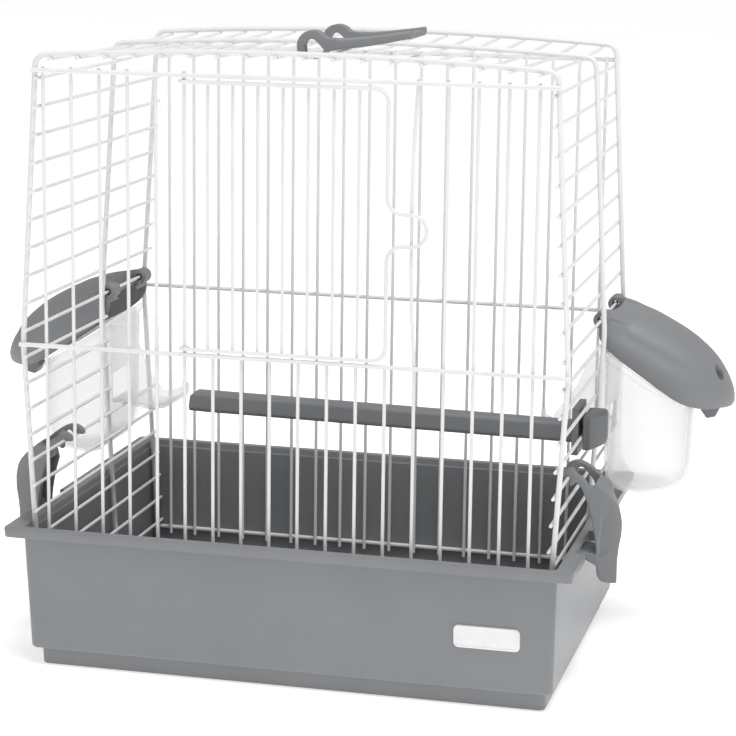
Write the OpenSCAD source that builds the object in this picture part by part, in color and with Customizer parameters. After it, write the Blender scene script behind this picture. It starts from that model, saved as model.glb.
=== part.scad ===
// Bird travel carrier: a moulded tray with a domed wire cage on it, a wire
// door, a perch, a folding carrying handle, two clear feeders with hinged
// hoods and two clips that hold the cage on the tray.
// Millimetres. X runs to the right, Y to the back, Z up. The origin is the
// middle of the tray's base.

/* [Tray] */
// Width of the tray over its rim
rim_w = 300; // [292:1:310]
// Depth of the tray over its rim
rim_d = 215; // [213:1:222]
// Height of the rim's top
rim_h = 77.5; // [74:0.5:80]
// Height of the rim's turned-down lip
lip_h = 5.5; // [4:0.5:8]
// Half width of the body just under the rim
body_x_top = 141; // [140:0.5:143]
// Half depth of the body just under the rim
body_y_top = 102.8; // [102.4:0.2:104]
// Half width of the body at its foot
body_x_foot = 139.5; // [138.8:0.1:140]
// Half depth of the body at its foot
body_y_foot = 97.4; // [97.2:0.1:99]
// Height of the plinth that the tray stands on
plinth_h = 9.8; // [8:0.2:11]
// Half width of the plinth
plinth_x = 135.4; // [134.5:0.1:137]
// Half depth of the plinth
plinth_y = 92.8; // [92:0.1:95]
// Thickness of the tray's walls
tray_wall = 1.8; // [1.4:0.1:2]
// Width of the blank plate on the tray's front
plate_w = 34; // [20:1:50]
// Height of the blank plate
plate_h = 12; // [8:0.5:16]

/* [Cage] */
// Diameter of the hoop wire
hoop_d = 2.8; // [2.4:0.1:3]
// Diameter of the level wires of the front and back
rail_d = 2.3; // [2:0.1:2.5]
// Diameter of the thin wires
thin_d = 1.8; // [1.6:0.1:2]
// Distance of the front and back hoops from the middle
hoop_y = 93.4; // [92.8:0.1:93.6]
// Y position of the middle hoop
mid_hoop_y = 22.5; // [18:0.5:23]
// Half width of the hoops at their bend
bend_x = 142.3; // [141.5:0.1:142.5]
// Height of the hoops' bend and of the level middle wires
bend_z = 172.6; // [172:0.2:173.4]
// Half width of the hoops at their top corners
top_x = 133.2; // [131:0.2:135]
// Height of the hoops' top corners
top_z = 321.2; // [320:0.2:323]
// Rise of the hoops' top bar at its middle
crown = 4.6; // [3:0.1:6]
// Pitch of the upright wires
upright_pitch = 14.95; // [14.9:0.05:15]
// Pitch of the wires that run back over the roof
roof_pitch = 14.7; // [14.5:0.05:14.8]

/* [Door] */
// X position of the door's outer upright
door_x = 50.5; // [46:0.5:51]
// Height of the door's top wire
door_top = 310.6; // [310:0.1:311]
// Height of the door's bottom wire
door_foot = 175.5; // [175:0.1:176.5]
// Diameter of the door's frame wire
door_d = 2; // [1.8:0.1:2.1]

/* [Handle] */
// Distance between the handle's two eyes
handle_span = 48; // [44:1:52]
// Y position of the handle's middle
handle_y = -58; // [-60:1:-30]
// Reach of the handle from the wire that it turns on
handle_reach = 49; // [45:1:53]

/* [Perch] */
// Height of the perch bar
perch_d = 11.2; // [9:0.2:12]
// X position of the perch's free end
perch_x = -80; // [-95:1:-60]
// Y position of the perch
perch_y = -8; // [-10:0.5:-5]

/* [Feeders] */
// Slope of the hoods, in degrees
hood_slope = 34; // [32:1:36]
// Length of a hood from its hinge wire
hood_len = 84; // [80:1:88]
// Width of a hood
hood_w = 65; // [62:0.5:65]
// Y position of the feeders' middle
feeder_y = 57; // [56.5:0.5:57.5]
// Thickness of the hoods
hood_t = 1.8; // [1.5:0.1:2.2]
// Thickness of the clear cups
cup_t = 1.4; // [1.2:0.1:1.8]

/* [Clips] */
// Width of a clip
clip_w = 22; // [18:1:24]
// Y position of the clips' middle
clip_y = -41; // [-44:1:-38]

/* [Hidden] */
$fn = 48;

grey = [0.47, 0.48, 0.49];
white = [0.95, 0.95, 0.95];
clear = [0.92, 0.95, 0.97, 0.35];

hr = hoop_d / 2;
rr = rail_d / 2;
tr = thin_d / 2;
dr = door_d / 2;
ledge_z = plinth_h + 2;
weld = 0.25;
rail_y = hoop_y + hr + rr - 0.5;
wire_y = rail_y - rr - tr + weld;
// the hoops' slopes below and above their bend
low_slope = (bend_x - 137.2) / (bend_z - 77.5);
high_slope = (top_x - bend_x) / (top_z - bend_z);
crown_r = (top_x * top_x + crown * crown) / (2 * crown);
corner_r = 6;

function post_x(z) = z < bend_z ? bend_x + (z - bend_z) * low_slope : bend_x + (z - bend_z) * high_slope;
function roof_z(x) = top_z + crown - (crown_r - sqrt(crown_r * crown_r - x * x));
// height of side wire k counted down from the top
function side_z(k) = k <= 9 ? 309.7 - 14.42 * k : 179.92 - 13.65 * (k - 9);

// ---- wire helpers ----
module rod(a, b, r) {
    d = b - a;
    translate(a) rotate([0, acos(d.z / norm(d)), atan2(d.y, d.x)]) cylinder(h = norm(d), r = r);
}
// an arc of wire in the plane y = 0, from angle a to a + sweep seen from the front
module bend_xz(centre, bend_radius, a, sweep, r)
    translate(centre) rotate([90, 0, 0]) rotate([0, 0, a])
        rotate_extrude(angle = sweep) translate([bend_radius, 0]) circle(r = r);
// the same in a level plane
module bend_xy(centre, bend_radius, a, sweep, r)
    translate(centre) rotate([0, 0, a])
        rotate_extrude(angle = sweep) translate([bend_radius, 0]) circle(r = r);

// a tapered block with rounded upright corners
module taper(x1, y1, z1, x2, y2, z2, r)
    hull() for (sx = [-1, 1], sy = [-1, 1]) {
        translate([sx * (x1 - r), sy * (y1 - r), z1]) cylinder(h = 0.02, r = r, $fn = 24);
        translate([sx * (x2 - r), sy * (y2 - r), z2 - 0.02]) cylinder(h = 0.02, r = r, $fn = 24);
    }

// ---- tray ----
module tray() color(grey) difference() {
    union() {
        taper(plinth_x - 0.3, plinth_y - 0.3, 0, plinth_x, plinth_y, plinth_h + 1, 3);
        taper(body_x_foot, body_y_foot, plinth_h, body_x_top, body_y_top, rim_h - 1, 3);
        difference() {
            taper(rim_w / 2 - 0.4, rim_d / 2 - 0.4, rim_h - lip_h, rim_w / 2, rim_d / 2, rim_h, 2);
            taper(rim_w / 2 - 2.4, rim_d / 2 - 2.2, rim_h - lip_h - 1, rim_w / 2 - 2.2, rim_d / 2 - 2, rim_h - 2, 1.5);
        }
    }
    // inside of the plinth, the body and the mouth
    taper(plinth_x - 2.9, plinth_y - 2.6, 2, plinth_x - 2.8, plinth_y - 2.5, ledge_z + 1, 2);
    taper(body_x_foot - tray_wall, body_y_foot - tray_wall, ledge_z, body_x_top - tray_wall, body_y_top - tray_wall, rim_h + 0.1, 2);
    translate([-body_x_top + 0.6, -body_y_top + 0.6, rim_h - 3.4]) cube([2 * body_x_top - 1.2, 2 * body_y_top - 1.2, 5]);
    // notches in the side rims for the clips
    for (s = [-1, 1]) translate([s > 0 ? 144.6 : -160, clip_y - 29, rim_h - lip_h - 1]) cube([15.4, 44, lip_h + 2]);
}

plate_tilt = atan((body_y_top - body_y_foot) / (rim_h - 1 - plinth_h));
plate_z = 38.5;
plate_face = body_y_foot + (plate_z - plinth_h) * tan(plate_tilt);
module label_plate() color(white)
    translate([106, -plate_face, plate_z]) rotate([plate_tilt, 0, 0]) translate([0, 0.4, 0]) rotate([90, 0, 0])
        linear_extrude(1.4) {
            square([plate_w - 4, plate_h], center = true);
            square([plate_w, plate_h - 4], center = true);
            for (sx = [-1, 1], sy = [-1, 1]) translate([sx * (plate_w / 2 - 2), sy * (plate_h / 2 - 2)]) circle(r = 2);
        }

// ---- cage ----
lean = atan(-high_slope);
// The corner arc is tangent to the leaning leg and to the crowned top bar, so
// its centre is found in a few steps from the line that the leg follows.
crown_z = top_z + crown - crown_r;
function corner_z(x) = crown_z + sqrt(pow(crown_r - corner_r, 2) - x * x);
function corner_x(x, n) = n == 0 ? x : corner_x(post_x(corner_z(x) + corner_r * sin(lean)) - corner_r * cos(lean), n - 1);
cx = corner_x(top_x - corner_r, 4);
cz = corner_z(cx);
end_a = asin(cx / (crown_r - corner_r));
// the hoop's right half, from its foot to the middle of its top bar
function crown_at(a) = [crown_r * sin(a), crown_z + crown_r * cos(a)];
hoop_half = concat(
    [[post_x(ledge_z), ledge_z + 0.15], [bend_x, bend_z]],
    [for (i = [0:7]) let (a = lean + (90 - lean - end_a) * i / 7) [cx + corner_r * cos(a), cz + corner_r * sin(a)]],
    [for (i = [3, 2, 1]) crown_at(end_a * i / 4)]);
function unit(v) = v / norm(v);
// a wire bent in the plane y = 0, swept as one piece from ring to ring
module bent_wire(p, r) {
    n = 24;
    last = len(p) - 1;
    rings = [for (i = [0:last])
        let (u = unit(p[max(i, 1)] - p[max(i, 1) - 1]), v = unit(p[min(i, last - 1) + 1] - p[min(i, last - 1)]),
             side = unit(u + v), reach = r / (side * u))
        for (k = [0:n - 1]) let (a = 360 * k / n)
            [p[i].x + reach * cos(a) * side.y, r * sin(a), p[i].y - reach * cos(a) * side.x]];
    polyhedron(points = rings, convexity = 6, faces = concat(
        [[for (k = [0:n - 1]) k]],
        [for (i = [0:last - 1], k = [0:n - 1]) [i * n + k, (i + 1) * n + k, (i + 1) * n + (k + 1) % n, i * n + (k + 1) % n]],
        [[for (k = [n - 1:-1:0]) last * n + k]]));
}
module hoop(y, drop) color(white) translate([0, y, 0]) {
    half = [for (p = hoop_half) p.y > bend_z ? p - [0, drop] : p];
    n = len(half);
    bent_wire(concat(half, [[0, crown_z + crown_r - drop]], [for (i = [n - 1:-1:0]) [-half[i].x, half[i].y]]), hr);
}
sag = 1.8;
module front_hoop() hoop(-hoop_y, 0);
module middle_hoop() hoop(mid_hoop_y, sag);
module back_hoop() hoop(hoop_y, 0);

module rail(s, z) rod([-post_x(z) - hr, s * rail_y, z], [post_x(z) + hr, s * rail_y, z], rr);
rail_top = 313.9;
rail_foot = 25.9;
wire_foot = 22.5;
wire_top = 315.6;
front_x = [for (k = [0:17]) -129.4 + upright_pitch * k];
back_x = [for (k = [0:17]) -126 + upright_pitch * k];
module upright(x, s, z1, z2) rod([x, s * wire_y, z1], [x, s * wire_y, z2], tr);

module front_top_wire() color(white) rail(-1, rail_top);
module front_wires_left() color(white) for (k = [0:5]) upright(front_x[k], -1, bend_z, wire_top);
// the last of these is bowed aside where the door's latch catches
module front_wires_right() color(white) {
    for (k = [14:17]) upright(front_x[k], -1, bend_z, wire_top);
    bow = [[0, wire_top], [-1.5, 290], [-2.4, 262], [-2.4, 220], [-1.5, 196], [0, bend_z]];
    for (i = [1:5]) rod([front_x[13] + bow[i - 1].x, -wire_y, bow[i - 1].y], [front_x[13] + bow[i].x, -wire_y, bow[i].y], tr);
    for (i = [1:4]) translate([front_x[13] + bow[i].x, -wire_y, bow[i].y]) sphere(r = tr + 0.02);
}
module front_panel_lower() color(white) {
    rail(-1, bend_z);
    rail(-1, rail_foot);
    for (x = front_x) upright(x, -1, wire_foot, bend_z);
}
module back_panel() color(white) {
    rail(1, rail_top - 0.8);
    rail(1, bend_z);
    rail(1, rail_foot);
    for (x = back_x) upright(x, 1, wire_foot, wire_top - 0.8);
}

side_in = hr + tr - weld;
module side_wire(s, k, y1, y2) {
    z = side_z(k);
    x = post_x(z) - side_in;
    rod([s * x, y1, z], [s * x, y2, z], tr);
}
side_front = -hoop_y - hr - 2;
side_back = hoop_y + hr + 2;
module wires_upper(s) color(white) for (k = [0:9]) side_wire(s, k, side_front, side_back);
module wires_middle(s) color(white) for (k = [10:13]) side_wire(s, k, side_front, mid_hoop_y + hr - 0.3);
module wires_lower(s) color(white) for (k = [14:20]) side_wire(s, k, side_front, side_back);
module left_wires_upper() wires_upper(-1);
module left_wires_middle() wires_middle(-1);
module left_wires_lower() wires_lower(-1);
module right_wires_upper() wires_upper(1);
module right_wires_middle() wires_middle(1);
module right_wires_lower() wires_lower(1);

// the roof wires dip a little where they pass under the middle hoop
module roof_wires() color(white) for (k = [0:17]) {
    x = roof_pitch * (k - 8.5);
    z = roof_z(x) - side_in;
    rise = sag / (mid_hoop_y + hoop_y);
    rise2 = sag / (hoop_y - mid_hoop_y);
    rod([x, side_front, z + rise * (-hoop_y - side_front)], [x, mid_hoop_y, z - sag], tr);
    translate([x, mid_hoop_y, z - sag]) sphere(r = tr + 0.02);
    rod([x, mid_hoop_y, z - sag], [x, side_back, z + rise2 * (side_back - hoop_y)], tr);
}

// ---- door, hung on one of the cage's upright wires ----
hinge_x = front_x[5];
loop_r = tr + 0.05 + dr;
door_y = wire_y + loop_r;
corner = 7;
door_wire_x = [for (k = [0:6]) -42.2 + 12.97 * k];
latch_z = 241.5;
latch_r = 8;
module door_frame() color(white) {
    for (z = [door_foot, door_top]) {
        rod([hinge_x, -door_y, z], [door_x - corner, -door_y, z], dr);
        // eye round the hinge wire
        bend_xy([hinge_x, -wire_y, z], loop_r, 40, 230, dr);
    }
    rod([door_x, -door_y, door_foot + corner], [door_x, -door_y, latch_z - 2 * latch_r], dr);
    rod([door_x, -door_y, latch_z + 2 * latch_r], [door_x, -door_y, door_top - corner], dr);
    bend_xz([door_x - corner, -door_y, door_top - corner], corner, 0, 90, dr);
    bend_xz([door_x - corner, -door_y, door_foot + corner], corner, 270, 90, dr);
    // the same wire turns out into the loop that springs over the bowed upright
    bend_xz([door_x + latch_r, -door_y, latch_z + 2 * latch_r], latch_r, 180, 90, dr);
    bend_xz([door_x + latch_r, -door_y, latch_z - 2 * latch_r], latch_r, 90, 90, dr);
    for (s = [-1, 1]) rod([door_x + latch_r, -door_y, latch_z + s * latch_r], [62.6, -door_y, latch_z + s * latch_r], dr);
    bend_xz([62.6, -door_y, latch_z], latch_r, 270, 180, dr);
}
// the door's bars stand behind its frame wires
door_bar_r = 0.8;
module door_wires() color(white) for (x = door_wire_x)
    rod([x, -door_y + dr + door_bar_r - weld, door_foot - 0.5], [x, -door_y + dr + door_bar_r - weld, door_top + 0.5], door_bar_r);

// ---- handle, turning on a roof wire ----
pivot_x = roof_pitch / 2;
pivot_z = roof_z(pivot_x) - side_in - sag * (handle_y + hoop_y) / (mid_hoop_y + hoop_y);
arm_w = 7;
module eye_shape() difference() {
    union() {
        translate([1.4, 6.1]) circle(r = 7.85);
        circle(r = 2.4);
        // root of the arm
        polygon([[5, 2], [9.2, 3.6], [14, 4.6], [14, 10.2], [8.7, 10.3], [5, 12.6]]);
    }
    // the wire lies at the bottom of a hole that opens towards the arm
    translate([0.9, 6.1]) circle(r = 3.6);
    circle(r = 1.4);
    polygon([[-2.7, 6.1], [-2.6, 3.6], [-1.4, 0], [1.2, -0.7], [4, 1.2], [7.5, 4.2], [3.4, 8.7]]);
}
// one arm in three sections, drawn in towards the grip and bent up a little
arm_at = [[13, 4.4, 10.3], [31, 6.9, 11.8], [handle_reach - 1, 10.3, 14.5]];
module arm_section(s, i) {
    t = (arm_at[i][0] - 13) / (handle_reach - 14);
    translate([arm_at[i][0], s * (handle_span / 2 * (1 - t) + 15 * t) - arm_w / 2, arm_at[i][1]]) cube([1, arm_w, arm_at[i][2] - arm_at[i][1]]);
}
module handle() color(grey) translate([pivot_x, handle_y, pivot_z]) {
    for (s = [-1, 1]) {
        translate([0, s * handle_span / 2 + arm_w / 2, 0]) rotate([90, 0, 0]) linear_extrude(arm_w) eye_shape();
        for (i = [0, 1]) hull() {
            arm_section(s, i);
            arm_section(s, i + 1);
        }
    }
    // thin grip plate between the arms' ends
    translate([handle_reach - 6, -17, 10]) cube([6, 34, 2.8]);
}

// ---- perch ----
perch_z = 127.2;
perch_tilt = 0.75;
clamp_z = 132;
module perch_bar() color(grey) {
    difference() {
        translate([133.4, perch_y, perch_z]) rotate([0, -90 - perch_tilt, 0])
            linear_extrude(133.4 - perch_x) polygon([for (p = [[-5.6, -3.4], [-5.6, 3.4], [-3.6, 5.4], [2.6, 5.4], [5.6, 2.6], [5.6, -2.6], [2.6, -5.4], [-3.6, -5.4]]) p * perch_d / 11.2]);
        translate([perch_x - 4, perch_y - 10, perch_z + 4.6]) rotate([0, 45, 0]) cube([6, 20, 10]);
    }
    // end plate inside the side wires and the stud that passes between them
    translate([132.9, perch_y - 12.5, 116]) cube([3.6, 25.5, 25]);
    translate([134, perch_y, clamp_z]) rotate([0, 90, 0]) cylinder(h = 12, r = 3.6);
}
module perch_clamp() color(grey) difference() {
    union() {
        translate([139.6, perch_y - 12, 119]) cube([5.4, 22, 18.4]);
        translate([139.6, perch_y - 12, 123]) cube([9.4, 22, 10.4]);
        for (z = [123, 133.4]) translate([145, perch_y + 10, z]) rotate([90, 0, 0]) cylinder(h = 22, r = 4);
    }
    translate([134, perch_y, clamp_z]) rotate([0, 90, 0]) cylinder(h = 12.3, r = 3.65);
    // parting line
    translate([141.6, perch_y - 13, 127]) cube([8, 1.6, 0.8]);
}

// ---- feeders ----
hinge_z = side_z(9);
hood_x = post_x(hinge_z) - side_in;
// A hood is drawn in its own axes: u down the slope from the hinge, v to the
// back, w square to the slope. Its sides are straight as far as flat_len.
flat_len = 47;
brim_w = -12.2;
crest_line = [[-1, 4.6], [4, 8], [10, 11], [23, 14.4], [44, 16.3], [55, 15.4], [62, 14], [70, 11], [76, 7.6], [80, 4.4], [84, -0.5]];
brim_line = [[-1, 1.5], [1, -3], [4, -7.6], [7, -9.8], [12, -11.4], [23, brim_w], [55, brim_w], [62, -11.4], [71.6, -8.4], [76, -6.4], [80, -4.2], [84, -1.9]];
function half_width(u, inset) = (hood_w / 2 - inset) * (u < flat_len ? 1 : sqrt(1 - pow((u - flat_len) / (hood_len - inset - flat_len), 2)));
module arch(stations, inset, sink) {
    m = 18;
    n = m + 1;
    last = len(stations) - 1;
    pts = [for (u = stations) for (i = [0:m])
        let (c = cos(180 * i / m), h = pow(sin(180 * i / m), 0.91), low = lookup(u, brim_line) - sink)
        [u, half_width(u, inset) * sign(c) * pow(abs(c), 0.77), low + h * (lookup(u, crest_line) - inset - low)]];
    polyhedron(points = pts, convexity = 4, faces = concat(
        [[for (k = [0:n - 1]) k]],
        [for (i = [0:last - 1], k = [0:n - 1]) each [
            [i * n + k, (i + 1) * n + k, (i + 1) * n + (k + 1) % n],
            [i * n + k, (i + 1) * n + (k + 1) % n, i * n + (k + 1) % n]]],
        [[for (k = [n - 1:-1:0]) last * n + k]]));
}
eyes = [[-32.5, -21], [20, 31.5]];
module hood_right() color(grey) translate([hood_x, feeder_y, hinge_z]) rotate([0, hood_slope, 0]) {
    difference() {
        arch([-1, 1, 4, 7, 12, 18, 23, 30, 37, 44, 50, 55, 60, 65, 70, 74, 78, 80, 82, 83.4], 0, 0);
        arch([6.2, 12, 18, 23, 30, 37, 44, 50, 55, 60, 65, 70, 74, 78, 80, 81.4], hood_t, 1.5);
        // open below the end wall, and between the eyes, where the wire is bare
        translate([3, -30.5, -16]) cube([5, 61, 14]);
        translate([-6, -21, -12]) cube([9.4, 41, 26]);
        translate([0, 20, 0]) rotate([90, 0, 0]) cylinder(h = 41, r = 4.4);
        // room round the wire beyond the eyes
        translate([0, 40, 0]) rotate([90, 0, 0]) cylinder(h = 80, r = tr + 0.08);
        // finger hole near the tip
        translate([70.5, -4, -5]) cylinder(h = 40, r = 2.8);
        translate([66, -3.4, -5]) cylinder(h = 40, r = 2.2);
    }
    for (e = eyes) difference() {
        union() {
            translate([0, e[1], 0]) rotate([90, 0, 0]) cylinder(h = e[1] - e[0], r = 4.5);
            translate([0, e[0], -1]) cube([7.5, e[1] - e[0], 5.4]);
        }
        translate([0, e[1] + 1, 0]) rotate([90, 0, 0]) cylinder(h = e[1] - e[0] + 2, r = tr + 0.08);
    }
    // rib under the tip, which stops against the cup
    translate([0, 5, 0]) rotate([90, 0, 0]) linear_extrude(10)
        polygon([[70.5, -2], [72.5, -13.5], [77.5, -15.5], [80.5, -11.5], [79, 3.5], [72, 8.5]]);
}
module right_hood() hood_right();
module left_hood() mirror([1, 0, 0]) hood_right();

// the clear cup hangs outside the side wires, under the hood
cup_z = 82;
cup_in = 142.4;
cup_out = 188;
cup_hw = 31;
module cup_plan(inset) {
    translate([cup_in + inset, -cup_hw + inset]) square([cup_out - cup_hw - cup_in - inset, 2 * (cup_hw - inset)]);
    intersection() {
        translate([cup_out - cup_hw, 0]) circle(r = cup_hw - inset);
        translate([cup_in + inset, -50]) square([100, 100]);
    }
}
module under_hood(gap) // keeps what is under the hood's sloping brim
    translate([hood_x, 0, hinge_z]) rotate([0, hood_slope, 0]) translate([-60, -60, -150]) cube([220, 120, 150 + brim_w - gap]);
module cup_right() color(clear) translate([0, feeder_y, 0]) intersection() {
    difference() {
        translate([0, 0, cup_z]) linear_extrude(100) cup_plan(0);
        translate([0, 0, cup_z + cup_t]) linear_extrude(100) cup_plan(cup_t);
        // mouth into the trough
        translate([cup_in - 1, -16, 112.7 + cup_t]) cube([cup_t + 2, 32, 16]);
    }
    under_hood(0.6);
}
module right_cup() cup_right();
module left_cup() mirror([1, 0, 0]) cup_right();

// the trough that reaches into the cage, resting on a side wire
trough_end = cup_in + 0.15;
trough_side = [[trough_end, 112.7], [134.5, 112.7], [130, 111.6], [121, 109.8], [112, 111], [104.5, 116], [103, 121.6], [112.5, 121.6], [121, 134.6], [129.4, 158], [trough_end, 158]];
module trough_plan(inset) {
    translate([103 + 19, 0]) circle(r = 19 - inset);
    translate([103 + 19, -19 + inset]) square([trough_end - 103 - 19, 2 * (19 - inset)]);
}
module trough_right() color(clear) translate([0, feeder_y, 0]) difference() {
    intersection() {
        translate([0, 0, 100]) linear_extrude(80) trough_plan(0);
        translate([0, 30, 0]) rotate([90, 0, 0]) linear_extrude(60) polygon(trough_side);
    }
    intersection() {
        translate([0, 0, 100]) linear_extrude(80) trough_plan(cup_t);
        translate([0, 30, cup_t]) rotate([90, 0, 0]) linear_extrude(60)
            polygon(concat([for (i = [0:6]) i < 1 ? trough_side[i] + [5, 0] : trough_side[i]], [[103, 180], [150, 180]]));
    }
}
module right_trough() trough_right();
module left_trough() mirror([1, 0, 0]) trough_right();

// ---- clips, hung on a side wire and caught under the rim ----
clip_z = side_z(14);
clip_x = post_x(clip_z) - side_in;
// a smooth closed curve through hand-chosen points
function spline(p, steps) = let (n = len(p)) [for (i = [0:n - 1]) for (s = [0:steps - 1])
    let (t = s / steps, a = p[(i + n - 1) % n], b = p[i], c = p[(i + 1) % n], d = p[(i + 2) % n])
    0.5 * (2 * b + (c - a) * t + (2 * a - 5 * b + 4 * c - d) * t * t + (3 * b - a - 3 * c + d) * t * t * t)];
clip_outline = [[133, 112.2], [134.8, 115.4], [138.6, 116.8], [143.4, 115.6], [148.6, 112.2], [154.2, 107.6], [159.6, 103], [163.4, 98], [165.2, 91],
    [165.2, 84], [164.2, 77], [163.6, 70], [163.5, 62], [163.5, 58.6], [162.8, 57.8], [158, 57.7], [154.6, 59.2], [153, 63], [152.6, 70],
    [151.9, 78.4], [150.4, 87], [148.2, 95.5], [145.6, 103], [142.6, 108.4], [139.8, 109.6], [137.6, 107.4], [134.4, 108.6]];
clip_pocket = [[152.4, 100], [157, 99.4], [161, 94.6], [163.2, 88], [162.8, 80], [161.6, 74], [152, 72.4], [147, 76], [145, 88], [146, 98]];
module clip_right() color(grey) translate([0, clip_y + clip_w / 2, 0]) rotate([90, 0, 0]) difference() {
    union() {
        linear_extrude(clip_w) polygon(spline(clip_outline, 4));
        translate([clip_x, clip_z]) linear_extrude(clip_w) circle(r = 4.6);
        // nib that catches under the rim
        linear_extrude(clip_w) polygon([[143.2, 70.6], [143.2, 73.8], [153.6, 72.4], [153.6, 66]]);
    }
    // eye round the wire, open below for snapping on
    translate([clip_x, clip_z, -1]) cylinder(h = clip_w + 2, r = tr + 0.08);
    translate([clip_x - 6, clip_z - 8, -1]) cube([6.6, 8, clip_w + 2]);
    // hollow back
    translate([0, 0, 2.4]) linear_extrude(clip_w - 4.8) polygon(spline(clip_pocket, 3));
    // gap between the two arms
    translate([0, 0, 4.2]) linear_extrude(clip_w - 8.4) polygon([[125, 97], [125, 125], [149.4, 125], [149.4, 104], [146, 97]]);
}
module right_clip() clip_right();
module left_clip() mirror([1, 0, 0]) clip_right();

tray();
label_plate();
front_hoop();
middle_hoop();
back_hoop();
front_top_wire();
front_wires_left();
front_wires_right();
front_panel_lower();
back_panel();
left_wires_upper();
left_wires_middle();
left_wires_lower();
right_wires_upper();
right_wires_middle();
right_wires_lower();
roof_wires();
door_frame();
door_wires();
handle();
perch_bar();
perch_clamp();
left_cup();
right_cup();
left_trough();
right_trough();
left_hood();
right_hood();
left_clip();
right_clip();
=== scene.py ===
# The looks of the bird travel carrier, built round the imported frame.
# Lengths in this script are millimetres until a mesh is made.
import math

import bmesh
import bpy
from mathutils import Matrix, Vector

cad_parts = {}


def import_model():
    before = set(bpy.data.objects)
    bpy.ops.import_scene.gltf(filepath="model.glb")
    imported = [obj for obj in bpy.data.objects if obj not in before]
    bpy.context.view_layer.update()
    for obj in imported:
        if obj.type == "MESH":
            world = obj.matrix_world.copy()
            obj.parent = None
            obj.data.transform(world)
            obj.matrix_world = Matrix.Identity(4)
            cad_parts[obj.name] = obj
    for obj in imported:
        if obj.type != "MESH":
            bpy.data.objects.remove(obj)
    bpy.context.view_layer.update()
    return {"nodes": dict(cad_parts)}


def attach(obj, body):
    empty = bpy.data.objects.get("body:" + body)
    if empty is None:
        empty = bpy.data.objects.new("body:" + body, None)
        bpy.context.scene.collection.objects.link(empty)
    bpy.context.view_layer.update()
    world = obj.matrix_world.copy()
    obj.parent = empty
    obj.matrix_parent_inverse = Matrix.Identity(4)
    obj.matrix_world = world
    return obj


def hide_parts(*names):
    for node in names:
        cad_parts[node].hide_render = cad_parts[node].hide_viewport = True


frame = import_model()
nodes = frame["nodes"]
MM = 0.001

# ---------------------------------------------------------------- materials


def new_material(name):
    m = bpy.data.materials.new(name)
    m.use_nodes = True
    nt = m.node_tree
    nt.nodes.clear()
    out = nt.nodes.new("ShaderNodeOutputMaterial")
    p = nt.nodes.new("ShaderNodeBsdfPrincipled")
    nt.links.new(p.outputs["BSDF"], out.inputs["Surface"])
    coord = nt.nodes.new("ShaderNodeTexCoord")
    return m, nt, p, coord


def noise(nt, coord, scale, detail=2.0, rough=0.5):
    n = nt.nodes.new("ShaderNodeTexNoise")
    n.inputs["Scale"].default_value = scale
    n.inputs["Detail"].default_value = detail
    n.inputs["Roughness"].default_value = rough
    nt.links.new(coord.outputs["Object"], n.inputs["Vector"])
    return n.outputs["Fac"]


def remap(nt, value, lo, hi, a=0.3, b=0.7):
    r = nt.nodes.new("ShaderNodeMapRange")
    r.inputs["From Min"].default_value = a
    r.inputs["From Max"].default_value = b
    r.inputs["To Min"].default_value = lo
    r.inputs["To Max"].default_value = hi
    nt.links.new(value, r.inputs["Value"])
    return r.outputs["Result"]


def mix_colour(nt, fac, a, b):
    x = nt.nodes.new("ShaderNodeMix")
    x.data_type = "RGBA"
    x.inputs["A"].default_value = (*a, 1)
    x.inputs["B"].default_value = (*b, 1)
    nt.links.new(fac, x.inputs["Factor"])
    return x.outputs["Result"]


def bump(nt, height, strength, distance, under=None):
    b = nt.nodes.new("ShaderNodeBump")
    b.inputs["Strength"].default_value = strength
    b.inputs["Distance"].default_value = distance
    nt.links.new(height, b.inputs["Height"])
    if under is not None:
        nt.links.new(under, b.inputs["Normal"])
    return b.outputs["Normal"]


def grey_plastic(name, colour, rough=0.42, grain=1500.0, grain_bump=0.12, specular=0.5):
    m, nt, p, c = new_material(name)
    cloud = noise(nt, c, 22.0, 3.0)
    dark = tuple(v * 0.955 for v in colour)
    light = tuple(min(1, v * 1.04) for v in colour)
    nt.links.new(mix_colour(nt, remap(nt, cloud, 0, 1), dark, light), p.inputs["Base Color"])
    fine = noise(nt, c, grain, 2.0, 0.6)
    nt.links.new(remap(nt, fine, rough - 0.05, rough + 0.06), p.inputs["Roughness"])
    wave = bump(nt, noise(nt, c, 60.0, 1.0), 0.12, 0.0006)
    nt.links.new(bump(nt, fine, grain_bump, 0.00012, wave), p.inputs["Normal"])
    p.inputs["Specular IOR Level"].default_value = specular
    p.inputs["IOR"].default_value = 1.49
    return m


def wire_paint(name):
    m, nt, p, c = new_material(name)
    cloud = noise(nt, c, 35.0, 2.0)
    nt.links.new(mix_colour(nt, remap(nt, cloud, 0, 1), (0.76, 0.763, 0.765), (0.81, 0.812, 0.812)), p.inputs["Base Color"])
    peel = noise(nt, c, 900.0, 2.0)
    nt.links.new(remap(nt, peel, 0.3, 0.42), p.inputs["Roughness"])
    nt.links.new(bump(nt, peel, 0.25, 0.00008), p.inputs["Normal"])
    p.inputs["Coat Weight"].default_value = 0.12
    p.inputs["Coat Roughness"].default_value = 0.22
    return m


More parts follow.
